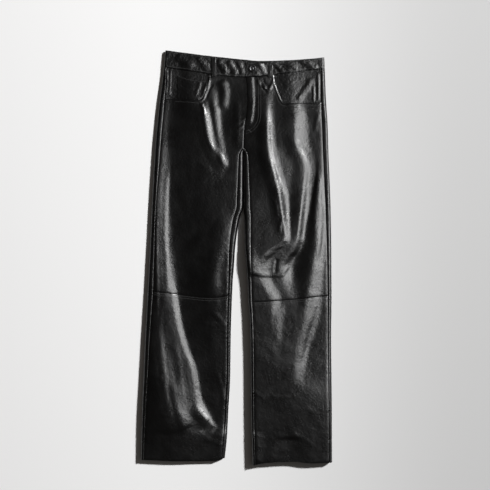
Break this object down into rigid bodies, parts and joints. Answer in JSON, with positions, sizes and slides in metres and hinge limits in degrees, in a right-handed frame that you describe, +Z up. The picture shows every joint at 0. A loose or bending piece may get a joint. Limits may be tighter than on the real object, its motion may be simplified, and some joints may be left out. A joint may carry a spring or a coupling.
{
  "type": "leather trousers",
  "caption": "Straight-legged five-pocket leather trousers laid flat on their back, front side up, with waistband, fly, curved pocket openings, knee seams and plain hems.",
  "frame": {"origin": "middle of the footprint, on the surface that the garment lies on", "axes": "+Z up from the surface, through the front of the garment; +Y along the legs towards the waist; +X towards the wearer's left"},
  "size_m": [0.4896, 1.0614, 0.0282],
  "materials": {
    "body_leather": "smooth, glossy",
    "facing_leather": "smooth, semi-gloss",
    "waistband_leather": "smooth, glossy",
    "button_metal": "black, polished"
  },
  "bodies": {
    "root": {"right_front_upper": "body_leather", "right_front_lower": "body_leather", "right_back_upper": "body_leather", "right_back_lower": "body_leather", "left_front_upper": "body_leather", "left_front_lower": "body_leather", "left_back_upper": "body_leather", "left_back_lower": "body_leather", "right_pocket_facing": "facing_leather", "left_pocket_facing": "facing_leather", "coin_pocket": "facing_leather", "waistband": "waistband_leather", "right_belt_loop": "body_leather", "left_belt_loop": "body_leather", "waist_button": "button_metal"}
  },
  "joints": []
}
